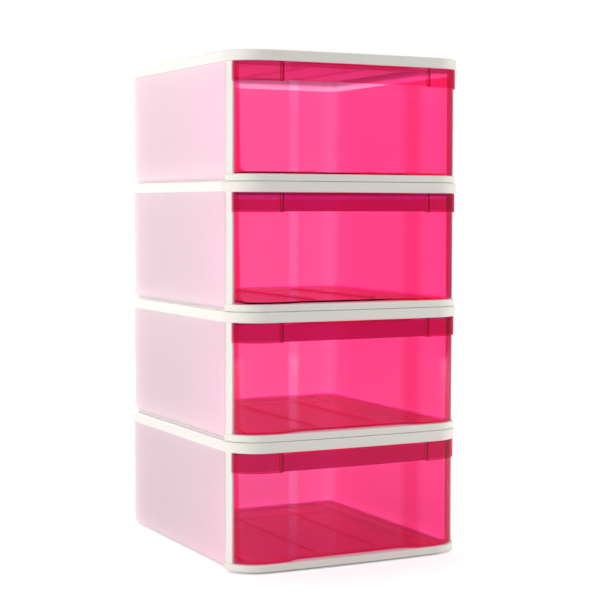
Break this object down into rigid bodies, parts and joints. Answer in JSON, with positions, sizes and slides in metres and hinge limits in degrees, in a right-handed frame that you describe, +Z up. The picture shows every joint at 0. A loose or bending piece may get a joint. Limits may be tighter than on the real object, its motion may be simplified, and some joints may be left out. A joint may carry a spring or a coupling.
{
  "type": "drawer tower",
  "caption": "Tower of stacking plastic drawer units with white lids and frames, pale shells and clear bowed drawers with a pull lip, for craft supplies and small parts.",
  "frame": {"origin": "on the floor, under the middle of the tower's bounding box", "axes": "+Z up through the stack, -Y towards the drawer fronts, +X to the viewer's right when facing the fronts"},
  "size_m": [0.316, 0.35, 0.61],
  "materials": {
    "white_plastic": "white moulded plastic, satin",
    "pale_shell": "pale pink moulded plastic, satin, slightly translucent",
    "clear_pink": "clear magenta moulded plastic, glossy"
  },
  "bodies": {
    "unit_1": {"foot_tray_1": "white_plastic", "front_frame_1": "white_plastic", "shell_1": "pale_shell", "lid_1": "white_plastic"},
    "drawer_body_1": {"drawer_1": "clear_pink"},
    "unit_2": {"foot_tray_2": "white_plastic", "front_frame_2": "white_plastic", "shell_2": "pale_shell", "lid_2": "white_plastic"},
    "drawer_body_2": {"drawer_2": "clear_pink"},
    "unit_3": {"foot_tray_3": "white_plastic", "front_frame_3": "white_plastic", "shell_3": "pale_shell", "lid_3": "white_plastic"},
    "drawer_body_3": {"drawer_3": "clear_pink"},
    "unit_4": {"foot_tray_4": "white_plastic", "front_frame_4": "white_plastic", "shell_4": "pale_shell", "lid_4": "white_plastic"},
    "drawer_body_4": {"drawer_4": "clear_pink"}
  },
  "joints": [
    {"name": "drawer_1_slide", "type": "slide", "parent": "unit_1", "child": "drawer_body_1", "axis": [0, -1, 0], "range_m": [0, 0.225]},
    {"name": "unit_2_lift", "type": "slide", "parent": "unit_1", "child": "unit_2", "axis": [0, 0, 1], "range_m": [0, 0.08]},
    {"name": "drawer_2_slide", "type": "slide", "parent": "unit_2", "child": "drawer_body_2", "axis": [0, -1, 0], "range_m": [0, 0.225]},
    {"name": "unit_3_lift", "type": "slide", "parent": "unit_2", "child": "unit_3", "axis": [0, 0, 1], "range_m": [0, 0.08]},
    {"name": "drawer_3_slide", "type": "slide", "parent": "unit_3", "child": "drawer_body_3", "axis": [0, -1, 0], "range_m": [0, 0.225]},
    {"name": "unit_4_lift", "type": "slide", "parent": "unit_3", "child": "unit_4", "axis": [0, 0, 1], "range_m": [0, 0.08]},
    {"name": "drawer_4_slide", "type": "slide", "parent": "unit_4", "child": "drawer_body_4", "axis": [0, -1, 0], "range_m": [0, 0.225]}
  ]
}
